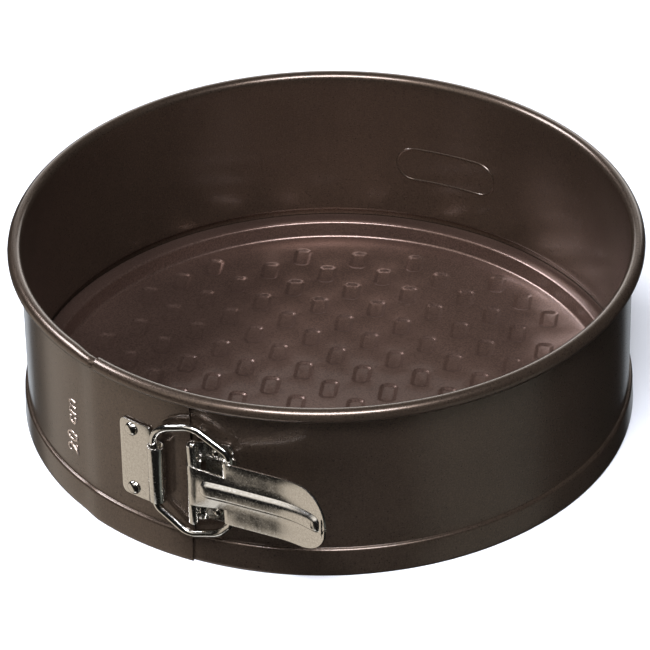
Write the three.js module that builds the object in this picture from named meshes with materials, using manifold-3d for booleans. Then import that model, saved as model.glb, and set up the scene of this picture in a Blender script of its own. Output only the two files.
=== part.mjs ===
// Springform cake pan: a split band with a rolled rim, a loose base plate and a toggle latch.
// Millimetres, +Z up. The origin is the centre of the base plate's underside, and the latch faces -Y.
import * as THREE from 'three';
import { mergeVertices } from 'three/addons/utils/BufferGeometryUtils.js';
import Module from 'manifold-3d';

const wasm = await Module();
wasm.setup();

// ---- driving dimensions ----
const HEIGHT = 65;              // table to top of the rim
const WALL_R = 100;             // inside of the band's wall: a 200 mm pan
const SHEET = 0.6;              // band sheet thickness
const BEAD_R = 2.2;             // rolled rim, radius of the sheet's middle line
const BEAD_END = -85;           // where the rolled rim's free edge points, degrees
const SKIRT_OUT = 1.4;          // how far the foot skirt stands out from the wall
const CREASE_Z = 9.9;           // sharp crease where the wall meets the foot shoulder
const SHOULDER_R = 0.7;         // bend of the foot shoulder
const TUCK = 0.9;               // outward step of the left end, which laps over the right end
const TUCK_BEAD_R = 0.9;        // squeezed rim of the left end, inside the right end's rim
const LAP = 19.65;              // length of the lap, degrees
const BACK = 175;               // where the band halves meet, degrees round from the latch
const BAND_STEP = 5;            // one facet of the band, degrees
const PLAY = 0.3;               // gap between pieces that rest on each other

const BASE_R = 101.05;          // edge of the base plate
const BASE_SHEET = 0.7;
const FLANGE_Z = 7.1;           // top of the flange
const STEP_R = 95.6;            // where the flange turns down
const PANEL_R = 94.9;           // where the step meets the panel
const PANEL_Z = 1.5;            // top of the panel

const MID_Z = 32.6;             // middle height of the latch
const PIN = [2.2, 104.2];       // hinge pin: sideways, outward
const EAR = [14.4, 103.7];      // bail leg held in the lever's ears
const BARREL = [-11.0, 104.0];  // rolled barrel of the catch plate
const LEG = [-11.78, 103.88];   // bail leg held in the barrel
const PIN_R = 1.1;
const WIRE_R = 1.15;
const STEEL = 0.7;              // catch and bracket sheet
const LEVER_SHEET = 0.8;
const CURL_R = 1.85;            // middle line of the knuckles, the tongue's curl and the ears
const BARREL_R = 2.45;          // middle line of the barrel
const RIVET_R = 2.05;
const SHANK_R = 1.2;
const SHANK_HOLE_R = 1.5;
const CATCH_RIVET = { angle: -12.1, rise: 11.4 };
const BRACKET_RIVET = { angle: 5.0, rise: 11.3 };

// ---- materials ----
const coating = (color) => new THREE.MeshStandardMaterial({ color, roughness: 0.45, metalness: 0.6 });
const nickel = (color) => new THREE.MeshStandardMaterial({ color, roughness: 0.25, metalness: 1 });
const bandCoating = coating(0x4a3c31);
const baseCoating = coating(0x6b534a);

const pan = new THREE.Group();

// ---- helpers ----
const rad = THREE.MathUtils.degToRad;

// A point from its angle round the pan, its radius and its height. Angle 0 is the latch.
function around(angle, r, z) {
  return new THREE.Vector3(r * Math.sin(rad(angle)), -r * Math.cos(rad(angle)), z);
}

function arc(cx, cy, r, from, to, steps) {
  const points = [];
  for (let i = 0; i <= steps; i++) {
    const a = rad(from + ((to - from) * i) / steps);
    points.push(new THREE.Vector2(cx + r * Math.cos(a), cy + r * Math.sin(a)));
  }
  return points;
}

// The closed outline of a sheet of even thickness, from its middle line.
function sheetOutline(line, thickness) {
  const left = [];
  const right = [];
  line.forEach((point, i) => {
    const before = line[Math.max(i - 1, 0)];
    const after = line[Math.min(i + 1, line.length - 1)];
    const into = point.clone().sub(i ? before : point.clone().multiplyScalar(2).sub(after)).normalize();
    const out = (i < line.length - 1 ? after.clone().sub(point) : into.clone()).normalize();
    const along = into.clone().add(out).normalize();
    const reach = thickness / 2 / along.dot(out);
    const side = new THREE.Vector2(-along.y, along.x).multiplyScalar(reach);
    left.push(point.clone().add(side));
    right.push(point.clone().sub(side));
  });
  return left.concat(right.reverse());
}

function volumeOf(geometry) {
  const p = geometry.attributes.position;
  const index = geometry.index.array;
  const [a, b, c] = [new THREE.Vector3(), new THREE.Vector3(), new THREE.Vector3()];
  let volume = 0;
  for (let i = 0; i < index.length; i += 3) {
    a.fromBufferAttribute(p, index[i]);
    b.fromBufferAttribute(p, index[i + 1]);
    c.fromBufferAttribute(p, index[i + 2]);
    volume += a.dot(b.cross(c)) / 6;
  }
  return volume;
}

// Shared vertices, and faces that point out.
function closed(geometry) {
  const plain = geometry.clone();
  plain.deleteAttribute('normal');
  plain.deleteAttribute('uv');
  const merged = mergeVertices(plain, 1e-4);
  if (volumeOf(merged) < 0) {
    const index = merged.index.array;
    for (let i = 0; i < index.length; i += 3) {
      [index[i + 1], index[i + 2]] = [index[i + 2], index[i + 1]];
    }
  }
  return merged;
}

function solid(geometry) {
  const g = closed(geometry);
  return new wasm.Manifold(new wasm.Mesh({
    numProp: 3,
    vertProperties: new Float32Array(g.attributes.position.array),
    triVerts: new Uint32Array(g.index.array),
  }));
}

function geometryOf(body) {
  const mesh = body.getMesh();
  const positions = new THREE.BufferAttribute(new Float32Array(mesh.vertProperties), 3);
  const geometry = new THREE.BufferGeometry();
  geometry.setAttribute('position', positions);
  geometry.setIndex(Array.from(mesh.triVerts));
  return geometry;
}

// A skin through equal rings of points: its ends are capped, or joined to each other.
function loft(rings, flatRing) {
  const count = rings[0].length;
  const joined = !flatRing;
  const index = [];
  for (let i = 0; i < rings.length - (joined ? 0 : 1); i++) {
    for (let j = 0; j < count; j++) {
      const a = i * count + j;
      const b = i * count + ((j + 1) % count);
      const c = ((i + 1) % rings.length) * count + j;
      const d = ((i + 1) % rings.length) * count + ((j + 1) % count);
      index.push(a, c, b, b, c, d);
    }
  }
  if (flatRing) {
    const last = (rings.length - 1) * count;
    const turn = Math.sign(THREE.ShapeUtils.area(flatRing));
    for (const [a, b, c] of THREE.ShapeUtils.triangulateShape(flatRing, [])) {
      const corners = [flatRing[a], flatRing[b], flatRing[c]];
      const sameTurn = Math.sign(THREE.ShapeUtils.area(corners)) === turn;
      const [p, q] = sameTurn ? [b, c] : [c, b];
      index.push(a, p, q, last + a, last + q, last + p);
    }
  }
  const positions = rings.flat().flatMap((p) => [p.x, p.y, p.z]);
  const geometry = new THREE.BufferGeometry();
  geometry.setAttribute('position', new THREE.Float32BufferAttribute(positions, 3));
  geometry.setIndex(index);
  return closed(geometry);
}

// A plan outline (sideways, outward) raised between two heights.
function raise(outline, low, high) {
  const shape = new THREE.Shape(outline.map((p) => new THREE.Vector2(p.x, -p.y)));
  const geometry = new THREE.ExtrudeGeometry(shape, { depth: high - low, bevelEnabled: false });
  return solid(geometry.translate(0, 0, low));
}

// A front outline (sideways, height) pushed outward between two distances.
function pushOut(shape, near, far) {
  const options = { depth: far - near, bevelEnabled: false, curveSegments: 8 };
  const geometry = new THREE.ExtrudeGeometry(shape, options);
  return solid(geometry.rotateX(Math.PI / 2).translate(0, -near, 0));
}

function roundedBox(x0, x1, z0, z1, r) {
  const shape = new THREE.Shape();
  shape.moveTo(x0 + r, z0);
  shape.lineTo(x1 - r, z0);
  shape.absarc(x1 - r, z0 + r, r, -Math.PI / 2, 0);
  shape.lineTo(x1, z1 - r);
  shape.absarc(x1 - r, z1 - r, r, 0, Math.PI / 2);
  shape.lineTo(x0 + r, z1);
  shape.absarc(x0 + r, z1 - r, r, Math.PI / 2, Math.PI);
  shape.lineTo(x0, z0 + r);
  shape.absarc(x0 + r, z0 + r, r, Math.PI, Math.PI * 1.5);
  return shape;
}

// A rod that points outward from the pan's axis, from one radius to another.
function radialRod(angle, z, r, near, far) {
  const geometry = new THREE.CylinderGeometry(r, r, far - near, 16).translate(0, (near + far) / 2, 0);
  geometry.rotateX(-Math.PI).rotateZ(rad(angle)).translate(0, 0, z);
  return solid(geometry);
}

function add(name, geometry, material) {
  const mesh = new THREE.Mesh(geometry, material);
  mesh.name = name;
  pan.add(mesh);
}

// ---- band ----
// The sheet's middle line from the foot up to the rim's free edge.
// tuck is 1 where the left end laps outside.
function bandLine(tuck, rimR) {
  const step = TUCK * tuck;
  const wall = WALL_R + SHEET / 2 + step;
  const skirt = wall + SKIRT_OUT;
  const shoulder = CREASE_Z + step - SHOULDER_R;
  const beadR = THREE.MathUtils.lerp(rimR, TUCK_BEAD_R, tuck);
  const beadZ = HEIGHT - SHEET / 2 - BEAD_R;
  return [
    new THREE.Vector2(skirt, 0),
    ...arc(skirt - SHOULDER_R, shoulder, SHOULDER_R, 0, 90, 3),
    new THREE.Vector2(wall, CREASE_Z + step),
    ...arc(wall + beadR, beadZ, beadR, 180, BEAD_END, 9),
  ];
}

function band(angles, tuckAt, rimR) {
  const rings = angles.map((angle) => (
    sheetOutline(bandLine(tuckAt(angle), rimR), SHEET).map((p) => around(angle, p.x, p.y))
  ));
  return loft(rings, sheetOutline(bandLine(tuckAt(angles[0]), rimR), SHEET));
}

const steps = (from, to) => {
  const count = Math.round(Math.abs(to - from) / BAND_STEP);
  return Array.from({ length: count + 1 }, (_, i) => from + ((to - from) * i) / count);
};

const BACK_GAP = 0.1;           // half the gap between the halves at the back, degrees
const LAP_END = LAP + 0.9;      // the left end steps back in from here
const LAP_CLEAR = LAP + 6;      // and is on the pan's circle again from here
const LEFT_BEAD_R = 2.1;

function drillBand(geometry, rivet) {
  let body = solid(geometry);
  for (const side of [-1, 1]) {
    const height = MID_Z + side * rivet.rise;
    body = body.subtract(radialRod(rivet.angle, height, SHANK_HOLE_R, WALL_R - 2, WALL_R + 4));
  }
  return geometryOf(body);
}

const rightBand = band(steps(-LAP, BACK - BACK_GAP), () => 0, BEAD_R);
add('band_right', drillBand(rightBand, BRACKET_RIVET), bandCoating);

const leftAngles = [...steps(0, -LAP_END), ...steps(-LAP_CLEAR, BACK + BACK_GAP - 360)];
const leftBand = band(leftAngles, (angle) => (angle >= -LAP_END - 0.01 ? 1 : 0), LEFT_BEAD_R);
add('band_left', drillBand(leftBand, CATCH_RIVET), bandCoating);

// ---- base plate ----
// One pressed sheet: a flange under the band's shoulder, a steep step, and a panel that stands on
// the table. The panel is as thick as the sheet and its pressed dimples together.
const baseProfile = [
  [0, 0], [PANEL_R + BASE_SHEET, 0], [STEP_R + BASE_SHEET, FLANGE_Z - BASE_SHEET],
  [BASE_R, FLANGE_Z - BASE_SHEET], [BASE_R, FLANGE_Z], [STEP_R, FLANGE_Z],
  [PANEL_R, PANEL_Z], [0, PANEL_Z],
].map(([r, z]) => new THREE.Vector2(r, z));
add('base_plate', closed(new THREE.LatheGeometry(baseProfile, 72).rotateX(Math.PI / 2)), baseCoating);

// ---- catch plate, on the left end ----
const onBand = (radius, from, to, count) => arc(0, 0, radius, 90 - from, 90 - to, count);
const barrelAngle = THREE.MathUtils.radToDeg(Math.atan2(BARREL[0], BARREL[1]));
const catchR = WALL_R + SHEET + TUCK + PLAY + STEEL / 2;
const CATCH_LEFT = -14.8;       // degrees
const CATCH_HALF = 14.5;        // half height of the plate
const BARREL_HALF = 10.5;       // half height of the barrel
const catchLine = [
  ...onBand(catchR, CATCH_LEFT, barrelAngle - 1, 3),
  ...arc(BARREL[0], BARREL[1], BARREL_R, -90 - barrelAngle, 195, 14),
];
let catchPlate = raise(sheetOutline(catchLine, STEEL), MID_Z - CATCH_HALF, MID_Z + CATCH_HALF);
const catchFront = roundedBox(-26.6, -14.2, MID_Z - CATCH_HALF, MID_Z + CATCH_HALF, 2.5);
const barrelFront = roundedBox(-18, -6, MID_Z - BARREL_HALF, MID_Z + BARREL_HALF, 0.6);
catchPlate = catchPlate.intersect(pushOut(catchFront, 90, 110).add(pushOut(barrelFront, 90, 110)));
for (const side of [-1, 1]) {
  catchPlate = catchPlate.subtract(
    radialRod(CATCH_RIVET.angle, MID_Z + side * CATCH_RIVET.rise, SHANK_HOLE_R, 98, 106),
  );
}
add('catch_plate', geometryOf(catchPlate), nickel(0xb9b6ad));

// ---- hinge bracket, on the right end ----
const BRACKET_HALF = 15;
const TONGUE_HALF = 7.2;        // the lever's tongue turns between the knuckles
const bracketR = WALL_R + SHEET + PLAY + STEEL / 2;
const bracketLine = [
  ...arc(PIN[0], PIN[1], CURL_R, 60, 262, 11),
  new THREE.Vector2(PIN[0] + 1.6, PIN[1] - CURL_R),
  ...onBand(bracketR, 3.1, 8.2, 2),
];
let bracket = raise(sheetOutline(bracketLine, STEEL), MID_Z - BRACKET_HALF, MID_Z + BRACKET_HALF);
bracket = bracket.intersect(
  pushOut(roundedBox(-3, 14.4, MID_Z - BRACKET_HALF, MID_Z + BRACKET_HALF, 2.5), 90, 110),
);
const tongueRoom = TONGUE_HALF + PLAY;
const tongueSlot = roundedBox(-3, 4.6, MID_Z - tongueRoom, MID_Z + tongueRoom, 0.3);
bracket = bracket.subtract(pushOut(tongueSlot, 90, 110));
for (const side of [-1, 1]) {
  bracket = bracket.subtract(
    radialRod(BRACKET_RIVET.angle, MID_Z + side * BRACKET_RIVET.rise, SHANK_HOLE_R, 98, 106),
  );
}
add('hinge_bracket', geometryOf(bracket), nickel(0xa8a59c));

// ---- rivets ----
// A domed head outside, and a shank that ends flush in the band's wall or in a flat head inside it.
function rivet(name, place, side, seat, shankEnd, insideHead) {
  const dome = new THREE.Shape();
  const height = 1.3;
  dome.moveTo(0, shankEnd);
  if (insideHead) {
    dome.lineTo(2.3, shankEnd);
    dome.lineTo(2.3, shankEnd + 0.35);
    dome.lineTo(SHANK_R, shankEnd + 0.35);
  } else {
    dome.lineTo(SHANK_R, shankEnd);
  }
  dome.lineTo(SHANK_R, seat);
  dome.lineTo(RIVET_R, seat);
  for (let i = 1; i <= 5; i++) {
    const a = (Math.PI / 2) * (i / 5);
    dome.lineTo(i === 5 ? 0 : RIVET_R * Math.cos(a), seat + height * Math.sin(a));
  }
  const geometry = new THREE.LatheGeometry(dome.getPoints(), 16);
  geometry.rotateX(-Math.PI).rotateZ(rad(place.angle)).translate(0, 0, MID_Z + side * place.rise);
  add(name, closed(geometry), nickel(0xd0cdc6));
}
const catchSeat = catchR + STEEL / 2 + 0.1;
const bracketSeat = bracketR + STEEL / 2 + 0.1;
rivet('catch_rivet_upper', CATCH_RIVET, 1, catchSeat, WALL_R + TUCK + 0.1, false);
rivet('catch_rivet_lower', CATCH_RIVET, -1, catchSeat, WALL_R + TUCK + 0.1, false);
rivet('bracket_rivet_upper', BRACKET_RIVET, 1, bracketSeat, WALL_R - 0.5, true);
rivet('bracket_rivet_lower', BRACKET_RIVET, -1, bracketSeat, WALL_R - 0.5, true);

// ---- hinge pin ----
const PIN_HALF = 15.4;
const pinShape = [[0, -PIN_HALF], [0.8, -PIN_HALF], [PIN_R, 0.3 - PIN_HALF], [PIN_R, PIN_HALF - 0.3],
  [0.8, PIN_HALF], [0, PIN_HALF]].map(([r, z]) => new THREE.Vector2(r, z));
const pin = new THREE.LatheGeometry(pinShape, 16).rotateX(Math.PI / 2);
add('hinge_pin', closed(pin.translate(PIN[0], -PIN[1], MID_Z)), nickel(0x9a978f));

// ---- bail ----
// A closed six-sided loop of round wire. Corners are rounded by short curves.
const bailCorners = [
  [LEG[0], 14.6, 3.0], [-8.2, 17.9, 2.0], [1.8, 21, 3.5], [EAR[0], 13.8, 2.1],
  [EAR[0], -14.8, 2.5], [11.2, -17.8, 2.0], [-0.8, -21, 3.5], [LEG[0], -13.0, 2.4],
].map(([x, z, r]) => ({ at: new THREE.Vector2(x, z), r }));

function roundedLoop(corners, perCorner) {
  const points = [];
  corners.forEach(({ at, r }, i) => {
    const before = corners.at(i - 1).at;
    const after = corners[(i + 1) % corners.length].at;
    const towards = (q) => (
      at.clone().add(q.clone().sub(at).setLength(Math.min(r, q.distanceTo(at) * 0.49)))
    );
    const bend = new THREE.QuadraticBezierCurve(towards(before), at, towards(after));
    points.push(...bend.getPoints(perCorner));
  });
  return points;
}

const bailPoints = roundedLoop(bailCorners, 3).map((p) => {
  const share = (p.x - LEG[0]) / (EAR[0] - LEG[0]);
  return new THREE.Vector3(p.x, -THREE.MathUtils.lerp(LEG[1], EAR[1], share), MID_Z + p.y);
});
const bailRings = bailPoints.map((point, i) => {
  const before = bailPoints.at(i - 1);
  const after = bailPoints[(i + 1) % bailPoints.length];
  const along = after.clone().sub(before).normalize();
  const flat = new THREE.Vector3(LEG[1] - EAR[1], EAR[0] - LEG[0], 0).normalize();
  const across = new THREE.Vector3().crossVectors(along, flat).normalize();
  return Array.from({ length: 10 }, (_, j) => {
    const a = (2 * Math.PI * j) / 10;
    const onCircle = point.clone().addScaledVector(flat, WIRE_R * Math.cos(a));
    return onCircle.addScaledVector(across, WIRE_R * Math.sin(a));
  });
});
add('bail', loft(bailRings), nickel(0xc4c1b8));

// ---- lever ----
// One pressed sheet: a tongue curled round the pin, two ears curled round the bail, and a paddle
// stiffened by a rib.
const PADDLE_HALF = 11.6;
const EAR_INNER = 6.1;          // the ears start at this height from the middle
const PADDLE_START = EAR[0] - CURL_R - LEVER_SHEET / 2;
const BEND_X = 31;              // the paddle is straight up to here
const TIP_X = 50.5;
const TIP_TURN = 27;            // and turns outward by this angle at the tip, degrees
const paddleOut = EAR[1] + CURL_R;
const tipR = (TIP_X - BEND_X) / Math.sin(rad(TIP_TURN));

const tongueLine = [
  ...arc(PIN[0], PIN[1], CURL_R, 330, 92, 12),
  new THREE.Vector2(EAR[0], paddleOut),
  new THREE.Vector2(EAR[0] + 4, paddleOut),
];
const earLine = [
  ...arc(EAR[0], EAR[1], CURL_R, 330, 90, 12),
  new THREE.Vector2(EAR[0] + 4, paddleOut),
];
const paddleLine = [
  new THREE.Vector2(EAR[0], paddleOut),
  ...arc(BEND_X, paddleOut + tipR, tipR, 270, 270 + TIP_TURN, 6),
];
const ribLine = (lift) => [
  new THREE.Vector2(PIN[0] + 3, PIN[1] + CURL_R + lift),
  new THREE.Vector2(EAR[0], paddleOut + lift),
  ...arc(BEND_X, paddleOut + tipR, tipR - lift, 270, 270 + TIP_TURN, 6),
];

function stadium(x0, x1, half, tipRound) {
  const shape = new THREE.Shape();
  shape.moveTo(x0, MID_Z - half);
  shape.lineTo(x1 - tipRound, MID_Z - half);
  shape.absellipse(x1 - tipRound, MID_Z, tipRound, half, -Math.PI / 2, Math.PI / 2);
  shape.lineTo(x0, MID_Z + half);
  return shape;
}

const tongue = raise(sheetOutline(tongueLine, LEVER_SHEET), MID_Z - TONGUE_HALF, MID_Z + TONGUE_HALF);
const legRoom = roundedBox(EAR[0] - 4, EAR[0] + 8, MID_Z - EAR_INNER, MID_Z + EAR_INNER, 0.3);
let lever = tongue.subtract(pushOut(legRoom, 90, EAR[1]));
for (const side of [-1, 1]) {
  const heights = [MID_Z + side * EAR_INNER, MID_Z + side * PADDLE_HALF].sort((a, b) => a - b);
  lever = lever.add(raise(sheetOutline(earLine, LEVER_SHEET), ...heights));
}
const paddle = raise(sheetOutline(paddleLine, LEVER_SHEET), MID_Z - PADDLE_HALF, MID_Z + PADDLE_HALF)
  .intersect(pushOut(stadium(PADDLE_START, TIP_X, PADDLE_HALF, 11), 90, 120));
const RIB = { half: 2.9, lift: 0.8, thick: 1.2, tip: 2.6, round: 2.6 };
const [ribLow, ribHigh] = [MID_Z - RIB.half, MID_Z + RIB.half];
const ribFront = roundedBox(PIN[0] + 3.2, TIP_X - RIB.tip, ribLow, ribHigh, RIB.round);
const rib = raise(sheetOutline(ribLine(RIB.lift), RIB.thick), ribLow, ribHigh)
  .intersect(pushOut(ribFront, 90, 120));
add('lever', geometryOf(lever.add(paddle).add(rib)), nickel(0xbfbcb3));

export default pan;
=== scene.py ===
# %% [markdown]
# # A springform cake pan
# The pan is a strip of coated steel rolled into a ring, a loose base plate that the ring clamps, and an
# over-centre latch that pulls the ends of the ring together. The frame below is the engineering model
# of the same pan. Each cell adds the finished look of one of its pieces, in the same place and at the
# same size.

# %% Load the frame
import math

import bmesh
import bpy
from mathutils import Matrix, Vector


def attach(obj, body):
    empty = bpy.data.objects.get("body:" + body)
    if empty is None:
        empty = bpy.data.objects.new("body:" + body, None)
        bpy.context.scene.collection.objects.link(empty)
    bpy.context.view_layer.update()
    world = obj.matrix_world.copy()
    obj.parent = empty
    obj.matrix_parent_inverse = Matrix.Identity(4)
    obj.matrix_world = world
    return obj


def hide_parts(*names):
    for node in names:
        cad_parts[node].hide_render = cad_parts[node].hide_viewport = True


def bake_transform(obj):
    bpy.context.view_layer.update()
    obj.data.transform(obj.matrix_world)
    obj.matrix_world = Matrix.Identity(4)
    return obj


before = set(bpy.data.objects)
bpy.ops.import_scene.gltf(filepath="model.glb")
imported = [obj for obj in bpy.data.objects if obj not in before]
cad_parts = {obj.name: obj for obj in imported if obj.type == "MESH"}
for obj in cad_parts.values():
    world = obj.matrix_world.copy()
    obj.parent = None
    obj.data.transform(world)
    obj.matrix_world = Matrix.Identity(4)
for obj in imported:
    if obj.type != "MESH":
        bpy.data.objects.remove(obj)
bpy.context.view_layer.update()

MM = 0.001

# %% [markdown]
# ## Working sizes
# Every size is in millimetres and belongs to the real pan: a 200 mm ring, 65 mm high, of 0.6 mm sheet.
# Angles go round the pan from the latch, which faces -Y, towards +X. A place is given either as an
# angle, a radius and a height, or in the plan of the latch as a sideways and an outward distance.

# %% Sizes and places
HEIGHT = 65.0
WALL_R = 100.0
SHEET = 0.6
BEAD_R = 2.1
MID_Z = 32.6
PIN = (2.2, 104.2)
EAR = (14.4, 103.7)
BARREL = (-11.0, 104.0)
LEG = (-11.78, 103.88)


def around(angle, radius, height):
    """The place at an angle round the pan, in metres."""
    turn = math.radians(angle)
    return Vector((radius * math.sin(turn), -radius * math.cos(turn), height)) * MM


def plan(sideways, outward, height=MID_Z):
    """The place at a sideways and an outward distance from the pan's middle, in metres."""
    return Vector((sideways, -outward, height)) * MM


def arc(centre, radius, start, end, steps):
    """Points on part of a circle, in the plane that the centre is given in."""
    turns = [math.radians(start + (end - start) * i / steps) for i in range(steps + 1)]
    return [(centre[0] + radius * math.cos(t), centre[1] + radius * math.sin(t)) for t in turns]


print("latch middle", [round(v, 4) for v in plan(0, 104)])

# %% [markdown]
# ## Ways of working
# Most pieces here are sheet or round bar, so most of them start as a line. A plane is merged to a
# single point, and the point is extruded step by step along the section. The section is then spun round
# an axis or extruded into rows, and a modifier gives the sheet its thickness. Faces and edges are
# chosen by their place.

# %% Helpers for drawing in edit mode
def clear_selection():
    """Leaves edit mode and deselects every object."""
    if bpy.context.mode != "OBJECT":
        bpy.ops.object.mode_set(mode="OBJECT")
    bpy.ops.object.select_all(action="DESELECT")


def select_only(piece):
    """Leaves edit mode, selects one object and makes it the active one."""
    clear_selection()
    piece.select_set(True)
    bpy.context.view_layer.objects.active = piece


def join_to(target, parts):
    """Joins parts into a piece."""
    clear_selection()
    for part in (*parts, target):
        part.select_set(True)
    bpy.context.view_layer.objects.active = target
    bpy.ops.object.join()


def start_line(name, points):
    """Starts a piece as one vertex and extrudes it along a row of points."""
    clear_selection()
    bpy.ops.mesh.primitive_plane_add(size=MM)
    piece = bpy.context.object
    piece.name = name
    piece.data.name = name
    bpy.ops.object.mode_set(mode="EDIT")
    bpy.ops.mesh.select_mode(type="VERT")
    bpy.ops.mesh.merge(type="CENTER")
    bpy.ops.transform.translate(value=points[0])
    for here, there in zip(points, points[1:]):
        bpy.ops.mesh.extrude_region_move(TRANSFORM_OT_translate={"value": there - here})
    bpy.ops.mesh.select_all(action="SELECT")
    return piece


def choose(piece, kind, test):
    """Selects the vertices, edges or faces whose every corner passes the test, and nothing else."""
    bpy.ops.mesh.select_mode(type=kind)
    bpy.ops.mesh.select_all(action="DESELECT")
    mesh = bmesh.from_edit_mesh(piece.data)
    parts = {"VERT": mesh.verts, "EDGE": mesh.edges, "FACE": mesh.faces}[kind]
    for part in parts:
        corners = [part] if kind == "VERT" else part.verts
        if all(test(corner.co / MM) for corner in corners):
            part.select_set(True)
    bmesh.update_edit_mesh(piece.data)


def rows(heights):
    """Extrudes the selected line upwards through a list of heights."""
    for low, high in zip(heights, heights[1:]):
        bpy.ops.mesh.extrude_region_move(TRANSFORM_OT_translate={"value": (0, 0, (high - low) * MM)})


def apply(piece, kind, **settings):
    """Adds a modifier, sets it and applies it."""
    bpy.ops.object.mode_set(mode="OBJECT")
    modifier = piece.modifiers.new(kind.title(), kind)
    for key, value in settings.items():
        setattr(modifier, key, value)
    bpy.ops.object.modifier_apply(modifier=modifier.name)


def close_up(piece):
    """Merges vertices that share a place and turns all faces outwards."""
    bpy.ops.object.mode_set(mode="EDIT")
    bpy.ops.mesh.select_all(action="SELECT")
    bpy.ops.mesh.remove_doubles(threshold=0.002 * MM)
    bpy.ops.mesh.normals_make_consistent(inside=False)
    bpy.ops.object.mode_set(mode="OBJECT")


def finish_piece(piece, material, angle=32):
    """Shades a piece, puts its place into its mesh and gives it its finish."""
    select_only(piece)
    bpy.ops.object.transform_apply(location=True, rotation=True, scale=True)
    bpy.ops.object.shade_smooth_by_angle(angle=math.radians(angle))
    piece.data.materials.clear()
    piece.data.materials.append(material)
    print(piece.name, len(piece.data.polygons), "faces")


# %% [markdown]
# ## The camera
# The camera looks down from well above the rim, a little to the latch's right. Its long lens keeps the
# ring's ellipse even.

# %% Camera
CAMERA_TURN = 25.5
CAMERA_RISE = 33.83
CAMERA_FAR = 1400.0
LENS = 232.836923
SENSOR = 36.0
ROLL = -1.10
MIDDLE_Z = 30.0
AIM_LEFT = 0.95
AIM_Z = 27.4

rise = math.radians(CAMERA_RISE)
eye = around(CAMERA_TURN, CAMERA_FAR * math.cos(rise), MIDDLE_Z + CAMERA_FAR * math.sin(rise))
side = math.radians(CAMERA_TURN)
aim = Vector((-AIM_LEFT * math.cos(side), -AIM_LEFT * math.sin(side), AIM_Z)) * MM
clear_selection()
bpy.ops.object.camera_add(location=eye)
camera = bpy.context.object
camera.name = "camera"
camera.data.lens = LENS
camera.data.sensor_width = SENSOR
camera.data.clip_end = 20
look = (aim - eye).to_track_quat("-Z", "Y").to_matrix()
camera.rotation_euler = look.to_euler()
camera.rotation_euler.rotate_axis("Z", math.radians(ROLL))
bpy.context.scene.camera = camera
print("camera at", [round(v, 3) for v in eye])

# %% [markdown]
# ## Finishes: colours and nodes
# Colours are written as the hex values that a screen shows, and one function turns them into the linear
# values that light is worked out in. One function adds a node, so every material reads the same way.

# %% Helpers for materials
def colour(code):
    """Linear red, green and blue, with full cover, from a hex value."""
    channels = [int(code[i:i + 2], 16) / 255 for i in (1, 3, 5)]
    linear = [c / 12.92 if c <= 0.04045 else ((c + 0.055) / 1.055) ** 2.4 for c in channels]
    return (*linear, 1.0)


def new_material(name):
    """An empty node material with its output."""
    material = bpy.data.materials.new(name)
    material.use_nodes = True
    material.node_tree.nodes.clear()
    return material


def add_node(material, kind, settings, inputs):
    """Adds a node, sets it, and feeds each input a value or another node's output."""
    node = material.node_tree.nodes.new(kind)
    for key, value in settings.items():
        setattr(node, key, value)
    for key, value in inputs.items():
        if isinstance(value, bpy.types.NodeSocket):
            material.node_tree.links.new(value, node.inputs[key])
        else:
            node.inputs[key].default_value = value
    return node


def cycles_per(millimetres):
    """The pattern scale that repeats about once in a length."""
    return 1 / (millimetres * MM)


# %% [markdown]
# ## Finish: bronze non-stick coating
# The ring is tinplate, roller coated with a non-stick lacquer that carries fine metallic flake. It is
# satin, not mirror bright: the flake gives a faint grain, and the lacquer gives a soft sheen over it.
# The base plate has the same kind of coating in a redder bronze. On the raised letters the same coat is
# drawn lighter and smoother: a painted highlight on their strokes. Real flake is about 0.05 mm, too fine
# to show, so the grain is drawn at about half a millimetre.

# %% Coated sheet
FLAKE = 0.55
ORANGE_PEEL = 1.6
CLOUD = 38.0


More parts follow.
